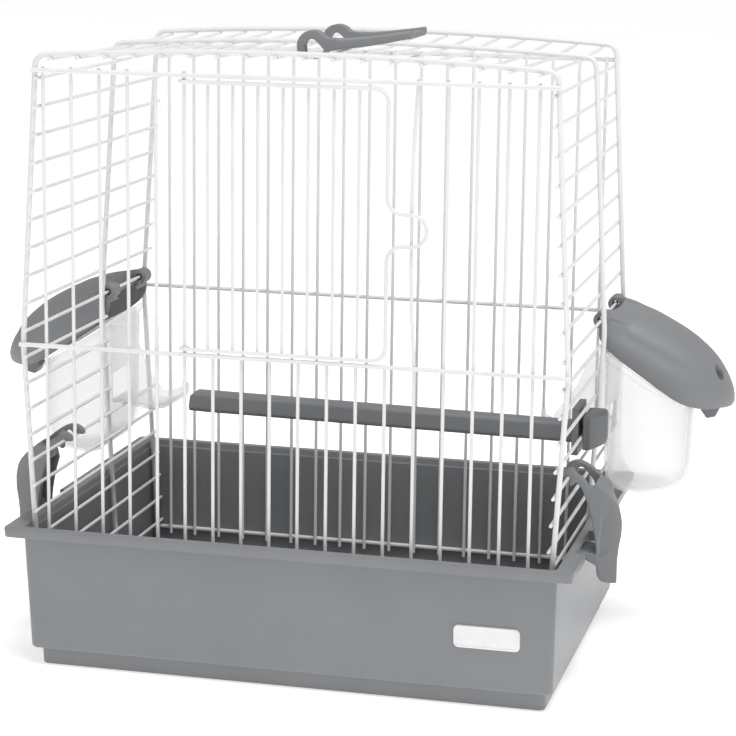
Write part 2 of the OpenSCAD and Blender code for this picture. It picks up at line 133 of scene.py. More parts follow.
def clear_plastic(name):
    """Thin clear moulding: nearly invisible face on, a grey line where it is seen edge on."""
    m, nt, p, c = new_material(name)
    cloud = noise(nt, c, 30.0, 2.0)
    colour = mix_colour(nt, remap(nt, cloud, 0, 1), (0.86, 0.868, 0.87), (0.91, 0.914, 0.915))
    nt.links.new(remap(nt, noise(nt, c, 260.0, 2.0), 0.06, 0.14), p.inputs["Roughness"])
    wave = bump(nt, noise(nt, c, 45.0, 1.5), 0.1, 0.0008)
    nt.links.new(wave, p.inputs["Normal"])
    lw = nt.nodes.new("ShaderNodeLayerWeight")
    lw.inputs["Blend"].default_value = 0.5
    nt.links.new(wave, lw.inputs["Normal"])
    power = nt.nodes.new("ShaderNodeMath")
    power.operation = "POWER"
    power.inputs[1].default_value = 3.2
    nt.links.new(lw.outputs["Facing"], power.inputs[0])
    r = nt.nodes.new("ShaderNodeMapRange")
    r.inputs["To Min"].default_value = 0.22
    r.inputs["To Max"].default_value = 0.9
    nt.links.new(power.outputs["Value"], r.inputs["Value"])
    nt.links.new(r.outputs["Result"], p.inputs["Alpha"])
    tint = nt.nodes.new("ShaderNodeMix")
    tint.data_type = "RGBA"
    tint.blend_type = "MULTIPLY"
    tint.inputs["B"].default_value = (0.42, 0.435, 0.44, 1)
    nt.links.new(power.outputs["Value"], tint.inputs["Factor"])
    nt.links.new(colour, tint.inputs["A"])
    nt.links.new(tint.outputs["Result"], p.inputs["Base Color"])
    p.inputs["IOR"].default_value = 1.46
    # painted glow: a faint white emission stands in for the light that the thin wall passes on from behind
    p.inputs["Emission Color"].default_value = (1, 1, 1, 1)
    p.inputs["Emission Strength"].default_value = 0.06
    return m


def plate_white(name):
    m, nt, p, c = new_material(name)
    cloud = noise(nt, c, 120.0, 2.0)
    nt.links.new(mix_colour(nt, remap(nt, cloud, 0, 1), (0.78, 0.785, 0.79), (0.84, 0.845, 0.85)), p.inputs["Base Color"])
    fine = noise(nt, c, 1800.0, 2.0)
    nt.links.new(remap(nt, fine, 0.22, 0.32), p.inputs["Roughness"])
    nt.links.new(bump(nt, fine, 0.08, 0.00006), p.inputs["Normal"])
    return m


TRAY = grey_plastic("tray_plastic", (0.214, 0.220, 0.229), 0.36, 1400.0, 0.1)
TRIM = grey_plastic("trim_plastic", (0.212, 0.219, 0.228), 0.5, 1700.0, 0.1)
PERCH = grey_plastic("perch_plastic", (0.175, 0.181, 0.19), 0.44, 1500.0, 0.12)
CAP = grey_plastic("cap_plastic", (0.122, 0.126, 0.132), 0.5, 1500.0, 0.12)
WIRE = wire_paint("powder_coat")
CLEAR = clear_plastic("clear_plastic")
PLATE = plate_white("plate_finish")

# ---------------------------------------------------------------- mesh tools


def make(name, verts, faces, material, sharp=None):
    me = bpy.data.meshes.new(name)
    me.from_pydata([(x * MM, y * MM, z * MM) for x, y, z in verts], [], faces)
    me.validate()
    o = bpy.data.objects.new(name, me)
    bpy.context.scene.collection.objects.link(o)
    me.materials.append(material)
    bm = bmesh.new()
    bm.from_mesh(me)
    bmesh.ops.recalc_face_normals(bm, faces=bm.faces)
    bm.to_mesh(me)
    bm.free()
    if sharp is not None:
        shade(o, sharp)
    return o


def shade(o, angle=35.0):
    me = o.data
    bm = bmesh.new()
    bm.from_mesh(me)
    for f in bm.faces:
        f.smooth = True
    limit = math.radians(angle)
    for e in bm.edges:
        e.smooth = not (len(e.link_faces) == 2 and e.calc_face_angle(0) > limit)
    bm.to_mesh(me)
    bm.free()


def apply_all(o):
    """Turns an object's modifiers into its mesh."""
    dg = bpy.context.evaluated_depsgraph_get()
    me = bpy.data.meshes.new_from_object(o.evaluated_get(dg))
    old = o.data
    o.modifiers.clear()
    o.data = me
    bpy.data.meshes.remove(old)


def boolean(o, cutter, operation="DIFFERENCE"):
    b = o.modifiers.new("b", "BOOLEAN")
    b.object = cutter
    b.operation = operation
    b.solver = "EXACT"
    apply_all(o)
    me = cutter.data
    bpy.data.objects.remove(cutter)
    bpy.data.meshes.remove(me)


def soften(o, voxel, rounds, factor=0.5):
    """Moulded edges: remesh evenly, then relax."""
    r = o.modifiers.new("r", "REMESH")
    r.mode = "VOXEL"
    r.voxel_size = voxel * MM
    r.use_smooth_shade = True
    s = o.modifiers.new("s", "SMOOTH")
    s.factor = factor
    s.iterations = rounds
    apply_all(o)
    for p in o.data.polygons:
        p.use_smooth = True


def bevel(o, width, segments=2, angle=35.0):
    b = o.modifiers.new("bevel", "BEVEL")
    b.width = width * MM
    b.segments = segments
    b.limit_method = "ANGLE"
    b.angle_limit = math.radians(angle)
    apply_all(o)
    shade(o, 30)


def join(name, objs):
    bm = bmesh.new()
    for o in objs:
        bm.from_mesh(o.data)
    me = bpy.data.meshes.new(name)
    bm.to_mesh(me)
    bm.free()
    o = bpy.data.objects.new(name, me)
    bpy.context.scene.collection.objects.link(o)
    me.materials.append(objs[0].data.materials[0])
    for x in objs:
        m = x.data
        bpy.data.objects.remove(x)
        bpy.data.meshes.remove(m)
    return o


def loft(sections, cap0=True, cap1=True):
    """Vertices and faces through closed sections with the same number of points."""
    n = len(sections[0])
    verts = [p for s in sections for p in s]
    faces = []
    for j in range(len(sections) - 1):
        for i in range(n):
            k = (i + 1) % n
            faces.append((j * n + i, j * n + k, (j + 1) * n + k, (j + 1) * n + i))
    if cap0:
        faces.append(tuple(reversed(range(n))))
    if cap1:
        faces.append(tuple((len(sections) - 1) * n + i for i in range(n)))
    return verts, faces


def tube(path, r, n=16, radii=None):
    """A round wire along a path of points, with slightly rounded ends."""
    pts = [Vector(p) for p in path]
    radii = radii or [r] * len(pts)
    a, b = pts[0], pts[-1]
    d0 = (pts[1] - pts[0]).normalized()
    d1 = (pts[-1] - pts[-2]).normalized()
    e = min(0.35, r * 0.35)
    pts = [a, a + d0 * e] + pts[1:-1] + [b - d1 * e, b]
    radii = [r - e, radii[0]] + radii[1:-1] + [radii[-1], r - e]
    side = d0.orthogonal().normalized()
    secs = []
    for i, p in enumerate(pts):
        u = (pts[i] - pts[i - 1]).normalized() if i else d0
        v = (pts[i + 1] - pts[i]).normalized() if i < len(pts) - 1 else d1
        t = (u + v).normalized()
        side = (side - t * side.dot(t)).normalized()
        other = t.cross(side)
        stretch = 1 / max(0.5, u.dot(t))
        bend = v - u
        ring = []
        for k in range(n):
            ang = 2 * math.pi * k / n
            q = side * math.cos(ang) + other * math.sin(ang)
            if bend.length > 1e-6:
                w = bend.normalized()
                q = q + w * (q.dot(w) * (stretch - 1))
            ring.append(tuple(p + q * radii[i]))
        secs.append(ring)
    return loft(secs)


def prism(outline, y0, y1):
    """An outline in x and z, carried from y0 to y1."""
    return loft([[(x, y0, z) for x, z in outline], [(x, y1, z) for x, z in outline]])


def block(x0, x1, y0, y1, z0, z1):
    return prism([(x0, z0), (x1, z0), (x1, z1), (x0, z1)], y0, y1)


def disc(cx, cz, r, n=40):
    return [(cx + r * math.cos(2 * math.pi * i / n), cz + r * math.sin(2 * math.pi * i / n)) for i in range(n)]


def spline(p, steps):
    n = len(p)
    out = []
    for i in range(n):
        a, b, c, d = (Vector(p[(i + k) % n]) for k in (-1, 0, 1, 2))
        for s in range(steps):
            t = s / steps
            out.append(tuple(0.5 * (2 * b + (c - a) * t + (2 * a - 5 * b + 4 * c - d) * t * t + (3 * b - a - 3 * c + d) * t ** 3)))
    return out


def mirrored(o, name):
    """A copy on the other side of the carrier."""
    me = o.data.copy()
    me.name = name
    c = bpy.data.objects.new(name, me)
    bpy.context.scene.collection.objects.link(c)
    bm = bmesh.new()
    bm.from_mesh(me)
    bmesh.ops.scale(bm, vec=(-1, 1, 1), verts=bm.verts)
    bmesh.ops.reverse_faces(bm, faces=bm.faces)
    bm.to_mesh(me)
    bm.free()
    return c


def place(o, body, *replaced, slot="grey_plastic"):
    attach(o, body)
    if replaced:
        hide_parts(*replaced)
    return o


# ---------------------------------------------------------------- the part's own lengths

HOOP_R, RAIL_R, THIN_R = 1.4, 1.15, 0.9
BEND_X, BEND_Z, TOP_X, TOP_Z, CROWN = 142.3, 172.6, 133.2, 321.2, 4.6
LOW = (BEND_X - 137.2) / (BEND_Z - 77.5)
HIGH = (TOP_X - BEND_X) / (TOP_Z - BEND_Z)
CROWN_R = (TOP_X ** 2 + CROWN ** 2) / (2 * CROWN)
SIDE_IN = HOOP_R + THIN_R - 0.25
HOOP_Y, MID_Y, SAG = 93.4, 22.5, 1.8
LEDGE_Z = 11.8


def post_x(z):
    return BEND_X + (z - BEND_Z) * (LOW if z < BEND_Z else HIGH)


def roof_z(x):
    return TOP_Z + CROWN - (CROWN_R - math.sqrt(CROWN_R ** 2 - x * x))


def side_z(k):
    return 309.7 - 14.42 * k if k <= 9 else 179.92 - 13.65 * (k - 9)


HINGE_Z = side_z(9)
HOOD_X = post_x(HINGE_Z) - SIDE_IN
CLIP_Z = side_z(14)
CLIP_X = post_x(CLIP_Z) - SIDE_IN
PIVOT_X = 7.35
PIVOT_Z = roof_z(PIVOT_X) - SIDE_IN - SAG * (-58 + HOOP_Y) / (MID_Y + HOOP_Y)

# ---------------------------------------------------------------- tray


def rounded(hx, hy, r, z, notch=None):
    """Rounded rectangle at height z, with points where the side notches are."""
    pts = []
    # small rings, in the middle of the floor, have the same points closer together
    k = min(1.0, (hy - r) / 80)
    marks = [k * y for y in (-71.2, -70.4, -69.8, -69.0, -48, -27.0, -26.2, -25.6, -24.8)]

    def arc(cx, cy, a0):
        return [(cx + r * math.cos(math.radians(a0 + 90 * i / 8)), cy + r * math.sin(math.radians(a0 + 90 * i / 8)), z) for i in range(9)]

    pts += [(hx, y, z) for y in marks]
    pts += [(hx, k * y, z) for y in (20, 60)]
    pts += arc(hx - r, hy - r, 0)
    pts += [(hx - (hx * 2) * i / 12, hy, z) for i in range(1, 12)]
    pts += arc(-hx + r, hy - r, 90)
    pts += [(-hx, k * y, z) for y in (60, 20)]
    pts += [(-hx, y, z) for y in reversed(marks)]
    pts += arc(-hx + r, -hy + r, 180)
    pts += [(-hx + (hx * 2) * i / 12, -hy, z) for i in range(1, 12)]
    pts += arc(hx - r, -hy + r, 270)
    if notch is not None:
        pts = [(max(-notch, min(notch, x)), y, zz) if -70 < y < -26 else (x, y, zz) for x, y, zz in pts]
    return pts


def build_tray():
    bx0, by0, bx1, by1 = 139.5, 97.4, 141.0, 102.8
    px, py = 135.4, 92.8

    def at(z):
        t = (z - 9.8) / (76.5 - 9.8)
        return bx0 + (bx1 - bx0) * t, by0 + (by1 - by0) * t

    ring = []
    ring.append(rounded(20, 12, 3, 1.2))
    ring.append(rounded(px - 7, py - 7, 3, 1.2))
    ring.append(rounded(px - 6, py - 6, 3, 0.9))
    ring.append(rounded(px - 5.4, py - 5.4, 3, 0.15))
    ring.append(rounded(px - 5, py - 5, 3, 0))
    ring.append(rounded(px - 1.6, py - 1.6, 3, 0))
    ring.append(rounded(px - 0.75, py - 0.75, 3.2, 0.25))
    ring.append(rounded(px - 0.35, py - 0.35, 3.4, 0.9))
    ring.append(rounded(px - 0.05, py - 0.05, 3.4, 8.6))
    ring.append(rounded(px, py, 3.4, 9.3))
    ring.append(rounded(px + 0.35, py + 0.35, 3.4, 9.8))
    ring.append(rounded(bx0 - 1.6, by0 - 1.6, 3.4, 9.8))
    ring.append(rounded(bx0 - 0.6, by0 - 0.6, 3.4, 10.1))
    ring.append(rounded(bx0 - 0.08, by0 - 0.08, 3.4, 10.9))
    for z in (11.6, 30, 50, 68, 74.4):
        x, y = at(z)
        ring.append(rounded(x, y, 3.4, z))
    x, y = at(75.2)
    ring.append(rounded(x + 0.1, y + 0.1, 3.4, 75.2))
    ring.append(rounded(x + 0.7, y + 0.7, 3.4, 75.5))
    n = 144.6
    ring.append(rounded(147.2, 105.0, 2.2, 75.5, n - 1.7))
    ring.append(rounded(147.7, 105.4, 2.2, 75.2, n - 1.4))
    ring.append(rounded(147.6, 105.3, 2.2, 72.5, n - 1.4))
    ring.append(rounded(147.9, 105.55, 2.3, 72.1, n - 1.2))
    ring.append(rounded(148.7, 106.2, 2.5, 72.0, n - 0.7))
    ring.append(rounded(149.4, 106.9, 2.7, 72.25, n - 0.25))
    ring.append(rounded(149.65, 107.15, 2.8, 72.9, n - 0.05))
    ring.append(rounded(149.95, 107.45, 2.9, 76.5, n))
    ring.append(rounded(149.75, 107.25, 2.8, 77.2, n - 0.2))
    ring.append(rounded(149.2, 106.7, 2.7, 77.5, n - 0.6))
    ring.append(rounded(141.4, 103.1, 3.0, 77.5))
    ring.append(rounded(140.75, 102.5, 3.0, 77.35))
    ring.append(rounded(140.4, 102.2, 3.0, 76.9))
    ring.append(rounded(140.4, 102.2, 3.0, 74.5))
    ring.append(rounded(140.2, 102.0, 3.0, 74.15))
    ring.append(rounded(139.7, 101.5, 2.8, 74.1))
    x, y = at(73.9)
    ring.append(rounded(x - 1.75, y - 1.75, 2.6, 73.7))
    for z in (72.8, 60, 40, 20, 13.2):
        x, y = at(z)
        ring.append(rounded(x - 1.8, y - 1.8, 2.4, z))
    x, y = at(12)
    ring.append(rounded(x - 2.1, y - 2.1, 2.4, 12.2))
    ring.append(rounded(x - 2.9, y - 2.9, 2.4, 11.8))
    ring.append(rounded(px - 1.9, py - 1.9, 2.4, 11.8))
    ring.append(rounded(px - 2.6, py - 2.4, 2.4, 11.5))
    ring.append(rounded(px - 2.85, py - 2.55, 2.4, 10.8))
    ring.append(rounded(px - 2.9, py - 2.6, 2.4, 4))
    ring.append(rounded(px - 3.6, py - 3.3, 2.4, 2.5))
    ring.append(rounded(px - 5, py - 4.7, 2.4, 2))
    ring.append(rounded(60, 40, 2.4, 2))
    ring.append(rounded(20, 12, 2, 2))
    v, f = loft(ring)
    o = make("tray_moulding", v, f, TRAY, 38)
    return place(o, "carrier", "tray")


tray = build_tray()

# ---------------------------------------------------------------- blank plate


def build_plate():
    tilt = math.atan((102.8 - 97.4) / (76.5 - 9.8))
    zc = 38.5
    face = 97.4 + (zc - 9.8) * math.tan(tilt)

    def outline(hx, hz, r):
        out = []
        for cx, cz, a0 in ((hx - r, hz - r, 0), (-hx + r, hz - r, 90), (-hx + r, -hz + r, 180), (hx - r, -hz + r, 270)):
            out += [(cx + r * math.cos(math.radians(a0 + 90 * i / 8)), cz + r * math.sin(math.radians(a0 + 90 * i / 8))) for i in range(9)]
        return out

    secs = []
    for inset, depth in ((0, 0.4), (0, -0.6), (0.12, -0.85), (0.4, -1.0), (0.95, -1.0), (1.15, -0.92), (1.3, -0.78), (3.5, -0.78)):
        ring = []
        for u, w in outline(17 - inset, 6 - inset, max(0.4, 2.6 - inset)):
            y = depth * math.cos(tilt) - w * math.sin(tilt)
            z = w * math.cos(tilt) + depth * math.sin(tilt)
            ring.append((106 + u, -face + y, zc + z))
        secs.append(ring)
    v, f = loft(secs)
    o = make("blank_plate", v, f, PLATE, 40)
    return place(o, "carrier", "label_plate", slot="plate_white")


build_plate()

# ---------------------------------------------------------------- cage wires

for name in ("front_top_wire", "front_wires_left", "front_wires_right", "front_panel_lower", "back_panel",
             "left_wires_upper", "left_wires_middle", "left_wires_lower",
             "right_wires_upper", "right_wires_middle", "right_wires_lower", "roof_wires",
             "door_frame", "door_wires"):
    me = nodes[name].data
    if not me.materials:
        me.materials.append(WIRE)
    for s in nodes[name].material_slots:
        s.material = WIRE


def build_hoop(name, y, drop):
    lean = math.atan(-HIGH)
    crown_z = TOP_Z + CROWN - CROWN_R
    cr = 6.0
    cx = TOP_X - cr
    for _ in range(6):
        cz = crown_z + math.sqrt((CROWN_R - cr) ** 2 - cx * cx)
        cx = post_x(cz + cr * math.sin(lean)) - cr * math.cos(lean)
    cz = crown_z + math.sqrt((CROWN_R - cr) ** 2 - cx * cx)
    end = math.asin(cx / (CROWN_R - cr))
    half = [(post_x(LEDGE_Z), LEDGE_Z)]
    # the bend at the waist is a short round one
    for t in (-4.5, -3, -1.5, 0, 1.5, 3, 4.5):
        q = abs(t) / 4.5
        half.append((post_x(BEND_Z + t) - 0.12 * (1 - q) ** 2, BEND_Z + t))
    for i in range(11):
        a = lean + (math.pi / 2 - lean - end) * i / 10
        half.append((cx + cr * math.cos(a), cz + cr * math.sin(a) - drop))
    for i in range(9, 0, -1):
        a = end * i / 10
        half.append((CROWN_R * math.sin(a), crown_z + CROWN_R * math.cos(a) - drop))
    path = [(x, y, z) for x, z in half] + [(0, y, crown_z + CROWN_R - drop)] + [(-x, y, z) for x, z in reversed(half)]
    v, f = tube(path, HOOP_R, 20)
    o = make(name + "_wire", v, f, WIRE, 50)
    return place(o, "carrier", name, slot="white_wire")


build_hoop("front_hoop", -HOOP_Y, 0)
build_hoop("middle_hoop", MID_Y, SAG)
build_hoop("back_hoop", HOOP_Y, 0)

# ---------------------------------------------------------------- hoods

SLOPE = math.radians(34)
HOOD_LEN, HOOD_W, FLAT = 84.0, 65.0, 47.0
FEED_Y = 57.0


def hood_to_world(u, v, w):
    """Hood's own axes: u down the slope, v to the back, w square to the slope."""
    return (HOOD_X + u * math.cos(SLOPE) + w * math.sin(SLOPE), FEED_Y + v, HINGE_Z - u * math.sin(SLOPE) + w * math.cos(SLOPE))


CREST = [(-1, 4.6), (4, 8), (10, 11), (23, 14.4), (44, 16.3), (55, 15.4), (62, 14), (70, 11), (76, 7.7), (80, 4.8), (84, 0.4)]
BRIM = [(-1, 1.5), (1, -3), (4, -7.6), (7, -9.8), (12, -11.4), (23, -12.2), (55, -12.2), (62, -11.4), (71.6, -8.2), (76, -5.6), (80, -3.2), (84, -1.2)]
EYES = ((-32.5, -21.0), (20.0, 31.5))


def along_line(table, u):
    """A smooth curve through a line's points (monotone between them)."""
    n = len(table)
    if u <= table[0][0]:
        return table[0][1]
    if u >= table[-1][0]:
        return table[-1][1]
    d = [(table[k + 1][1] - table[k][1]) / (table[k + 1][0] - table[k][0]) for k in range(n - 1)]
    t = [d[0]] + [0.0 if d[k - 1] * d[k] <= 0 else 2 * d[k - 1] * d[k] / (d[k - 1] + d[k]) for k in range(1, n - 1)] + [d[-1]]
    for k in range(n - 1):
        if u <= table[k + 1][0]:
            h = table[k + 1][0] - table[k][0]
            q = (u - table[k][0]) / h
            return ((1 + 2 * q) * (1 - q) ** 2 * table[k][1] + q * (1 - q) ** 2 * h * t[k]
                    + q * q * (3 - 2 * q) * table[k + 1][1] + q * q * (q - 1) * h * t[k + 1])


def hood_half(u, inset):
    return (HOOD_W / 2 - inset) * (1 if u < FLAT else math.sqrt(max(0.0, 1 - ((u - FLAT) / (HOOD_LEN - inset - FLAT)) ** 2)))


def hood_solid(u0, u1, inset, sink, grow=0.0):
    """An arched solid from station u0 to u1."""
    m, n = 64, 110
    secs = []
    for j in range(n + 1):
        q = j / n
        u = u0 + (u1 - u0) * (1 - (1 - q) ** 1.9 if u1 > FLAT else q)
        low = along_line(BRIM, u) - sink
        top = along_line(CREST, u) - inset
        hw = hood_half(u, inset)
        sec = []
        # fuller shoulders near the root, where the eyes are
        q = max(0.0, min(1.0, (u + 1) / 15))
        side_pow, top_pow = 0.42 + 0.35 * q, 0.46 + 0.45 * q
        ridge = low + (6.6 + 4.4 * max(0.0, min(1.0, (u - 13) / 38)))
        fade = max(0.0, min(1.0, (u - 4) / 10)) * max(0.0, min(1.0, (76 - u) / 22))
        for i in range(m + 1):
            c, h = math.cos(math.pi * i / m), max(0.0, math.sin(math.pi * i / m)) ** top_pow
            v = hw * math.copysign(abs(c) ** side_pow, c)
            w = low + h * (top - low)
            # a soft ridge along each side: drawn in below it, a little hollow above it
            if inset == 0 and fade > 0:
                if w < ridge:
                    g = (ridge - w) / max(0.1, ridge - low)
                    v -= math.copysign(2.0 * fade * g ** 1.2, c)
                else:
                    v -= math.copysign(0.9 * fade * math.exp(-((w - ridge - 5.2) / 3.0) ** 2), c)
            sec.append(hood_to_world(u, v, w))
        secs.append(sec)
    vv, ff = loft(secs)
    return make("solid", vv, ff, TRIM)


def hood_prism(outline, v0, v1):
    """An outline in u and w, carried from v0 to v1."""
    vv, ff = loft([[hood_to_world(u, v, w) for u, w in outline] for v in (v0, v1)])
    return make("cut", vv, ff, TRIM)


def hood_round(r, v0, v1, cu=0.0, cw=0.0):
    return hood_prism([(cu + r * math.cos(math.pi * i / 20), cw + r * math.sin(math.pi * i / 20)) for i in range(40)], v0, v1)


def build_hood():
    h = hood_solid(-1, 83.7, 0, 0)
    boolean(h, hood_solid(6.2, 81.4, 2.6, 1.5))
    # open below the end wall
    boolean(h, hood_prism([(3, -16), (8, -16), (8, -2), (3, -2)], -30.5, 30.5))
    # the wire is bare between the eyes, in a hollow with round ends
    outline = [(-8, -14), (2.2, -14), (3.2, -8), (3.5, -1), (3.3, 8), (2.2, 14), (-8, 14)]
    secs = []
    for v, k in ((-20.6, 0.0), (-20.2, 1.4), (-18.6, 2.4), (-15, 3.1), (-9, 3.5), (8, 3.5), (14, 3.1), (17.6, 2.4), (19.2, 1.4), (19.6, 0.0)):
        secs.append([hood_to_world(u + (k - 3.5 if u > 0 else 0), v, w) for u, w in outline])
    vv, ff = loft(secs)
    boolean(h, make("cut", vv, ff, TRIM))
    boolean(h, hood_round(4.3, -20.4, 19.4))
    boolean(h, hood_round(1.9, -40, 40))
    # finger hole near the tip
    hole = spline([(62.9, -9.6), (64.8, -6.4), (68.2, -5.0), (70.6, -6.9), (71.2, -11.4), (69.2, -14.0), (65.6, -13.4)], 6)
    vv, ff = loft([[hood_to_world(u, v, w) for u, v in hole] for w in (-5, 40)])
    boolean(h, make("cut", vv, ff, TRIM))
    # creases that run out from the eyes
    for k in (-1, 1):
        for line in ([(-2, 34.0, 2.4), (1.9, 32.2, 2.9), (4.6, 29.3, 3.2), (7.8, 28.1, 3.8), (11.2, 26.8, 4.5), (16, 25.6, 5.5)],
                     [(1, 12.5, 6.4), (3.7, 9.0, 7.9), (6.8, 6.6, 9.6), (11.3, 4.4, 11.5), (17.9, 5.2, 13.5)]):
            path = [hood_to_world(u, k * v, w) for u, v, w in line]
            vv, ff = tube(path, 1.0, 12, [1.3, 1.25, 1.1, 0.9, 0.7, 0.4][:len(path)])
            boolean(h, make("cut", vv, ff, TRIM))
    parts = [h]
    # eyes on the wire, part of the same moulding
    for lo, hi in EYES:
        eye = hood_round(4.35, lo + 0.1, hi - 0.1)
        boolean(eye, hood_round(1.9, -40, 40))
        parts.append(eye)
    # rib under the tip
    parts.append(hood_prism([(69.6, -2), (71.6, -13.4), (77.2, -15.4), (80.4, -11.7), (78.4, 1.5), (73, 5.5)], -5.0, 5.0))
    h = join("right_hood_moulding", parts)
    soften(h, 0.5, 4)
    h.name = "right_hood_moulding"
    h.data.name = "right_hood_moulding"
    return h


right_hood = build_hood()
left_hood = mirrored(right_hood, "left_hood_moulding")
place(right_hood, "right_hood", "right_hood")
place(left_hood, "left_hood", "left_hood")

# ---------------------------------------------------------------- cups

CUP_IN, CUP_OUT, CUP_HW, CUP_Z, CUP_T = 142.4, 188.0, 31.0, 83.2, 1.4


def cup_plan(inset):
    """Plan of a cup as (x, y), from the front inner corner round the outer end."""
    r = CUP_HW - inset
    cx = CUP_OUT - CUP_HW
    pts = [(cx + r * math.sin(math.pi * i / 40), -r * math.cos(math.pi * i / 40)) for i in range(41)]
    xi = CUP_IN + inset
    rc = min(2.5, 0.8 * (cx - xi))
    # back inner corner, inner wall, front inner corner
    pts += [(cx - (cx - xi - rc) * i / 3, r) for i in range(1, 4)]
    pts += [(xi + rc - rc * math.sin(math.pi / 2 * i / 5), r - rc + rc * math.cos(math.pi / 2 * i / 5)) for i in range(1, 6)]
    pts += [(xi, r - rc - (2 * r - 2 * rc) * i / 8) for i in range(1, 9)]
    pts += [(xi + rc - rc * math.cos(math.pi / 2 * i / 5), -r + rc - rc * math.sin(math.pi / 2 * i / 5)) for i in range(1, 6)]
    pts += [(xi + rc + (cx - xi - rc) * i / 3, -r) for i in range(1, 3)]
    return pts


def cup_top(x):
    return HINGE_Z - math.tan(SLOPE) * (x - HOOD_X) - 12.2 / math.cos(SLOPE) - 0.8


def build_cup():
    base = cup_plan(0)

    def wall(inset, z, lift=0.0):
        """A level ring low down, and a sloping one higher up: z above 100 is a share of the way to the brim."""
        pl = cup_plan(inset)
        out = []
        for (x, y) in pl:
            if z <= 100:
                zz = z
            else:
                zz = 100 + (z - 100) / 100 * (cup_top(x) - 100) + lift
            out.append((x, FEED_Y + y, zz))
        return out

    secs = []
    R = 13.0
    for i in range(9):
        a = math.pi / 2 * i / 8
        secs.append(wall(1.4 + R * (1 - math.sin(a)), CUP_Z + R * (1 - math.cos(a)) if i else CUP_Z))
    secs.append(wall(1.0, 98))
    for t in (104, 130, 160, 185, 192):
        secs.append(wall(0.8 - 0.8 * (t - 100) / 100, t))
    # rolled rim
    secs.append(wall(-0.9, 193.5))
    secs.append(wall(-1.5, 195.5))
    secs.append(wall(-1.5, 198.5))
    secs.append(wall(-0.9, 200))
    secs.append(wall(CUP_T - 0.4, 200))
    secs.append(wall(CUP_T, 198.5))
    for t in (185, 160, 130, 104):
        secs.append(wall(0.8 - 0.8 * (t - 100) / 100 + CUP_T, t))
    secs.append(wall(1.0 + CUP_T, 98))
    for i in range(8, -1, -1):
        a = math.pi / 2 * i / 8
        r = R - CUP_T
        secs.append(wall(1.4 + CUP_T + r * (1 - math.sin(a)), CUP_Z + CUP_T + r * (1 - math.cos(a))))
    v, f = loft(secs)
    o = make("right_cup_moulding", v, f, CLEAR)
    vv, ff = block(CUP_IN - 2, CUP_IN + 4.23, FEED_Y - 15.93, FEED_Y + 15.97, 114.13, 130.07)
    boolean(o, make("cut", vv, ff, CLEAR))
    bm = bmesh.new()
    bm.from_mesh(o.data)
    bmesh.ops.remove_doubles(bm, verts=bm.verts, dist=0.02 * MM)
    bmesh.ops.dissolve_degenerate(bm, edges=bm.edges, dist=0.005 * MM)
    bm.to_mesh(o.data)
    bm.free()
    shade(o, 40)
    return o


right_cup = build_cup()
left_cup = mirrored(right_cup, "left_cup_moulding")
place(right_cup, "carrier", "right_cup", slot="clear_plastic")
place(left_cup, "carrier", "left_cup", slot="clear_plastic")


def build_trough():
    """An open channel that narrows to a lip inside the cage, and runs into the cup's wall."""
    floor_line = [(103, 121.0), (104.5, 116), (112, 111.1), (121, 109.9), (130, 111.7), (134.5, 112.8), (142.5, 112.8)]
    top_line = [(103, 121.6), (112.5, 121.6), (121, 134.6), (129.4, 158), (142.5, 158)]

    def along(t, x):
        for (x0, z0), (x1, z1) in zip(t, t[1:]):
            if x <= x1:
                return z0 + (z1 - z0) * (x - x0) / (x1 - x0)
        return t[-1][1]

    def corner(cy, cz, r, a0, a1):
        return [(cy + r * math.cos(math.radians(a0 + (a1 - a0) * k / 5)), cz + r * math.sin(math.radians(a0 + (a1 - a0) * k / 5))) for k in range(6)]

    secs = []
    for x in (103.15, 103.5, 104.2, 105.2, 106.8, 109, 112.5, 116, 118.5, 121, 125, 129.4, 134.5, 139, 142.5):
        away = max(0.0, 122 - x)
        w = math.sqrt(19.0 ** 2 - away ** 2)
        wi = max(0.35, math.sqrt(max(0.0, 17.6 ** 2 - away ** 2)))
        zt = along(top_line, x)
        zf = min(along(floor_line, x), zt - 0.9)
        zi = min(zt - 0.3, zf + CUP_T) if x > 105 else zt - 0.3
        c, ci = min(4.0, 0.45 * w, 0.45 * (zt - zf)), min(2.8, 0.45 * wi, 0.45 * (zt - zi))
        ring = [(-w, zt)] + corner(-w + c, zf + c, c, 180, 270) + corner(w - c, zf + c, c, 270, 360) + [(w, zt), (wi, zt)]
        ring += corner(wi - ci, zi + ci, ci, 360, 270) + corner(-wi + ci, zi + ci, ci, 270, 180) + [(-wi, zt)]
        secs.append([(x, FEED_Y + y, z) for y, z in ring])
    v, f = loft(secs)
    return make("right_trough_moulding", v, f, CLEAR, 40)


right_trough = build_trough()
left_trough = mirrored(right_trough, "left_trough_moulding")
place(right_trough, "carrier", "right_trough", slot="clear_plastic")
place(left_trough, "carrier", "left_trough", slot="clear_plastic")

# ---------------------------------------------------------------- clips

CLIP_Y, CLIP_W = -41.0, 22.0
CLIP_OUTLINE = [(133, 112.2), (134.8, 115.4), (138.6, 116.8), (143.4, 115.6), (148.6, 112.2), (154.2, 107.6), (159.6, 103), (163.4, 98), (165.2, 91),
                (165.2, 84), (164.2, 77), (163.6, 70), (163.5, 62), (163.5, 58.6), (162.8, 57.8), (158, 57.7), (154.6, 59.2), (153, 63), (152.6, 70),
                (151.9, 78.4), (150.4, 87), (148.2, 95.5), (145.6, 103), (142.6, 108.4), (139.8, 109.6), (137.6, 107.4), (134.4, 108.6)]
CLIP_POCKET = [(152.4, 100), (157, 99.4), (161, 94.6), (163.2, 88), (162.8, 80), (161.6, 74), (152, 72.4), (147, 76), (145, 88), (146, 98)]


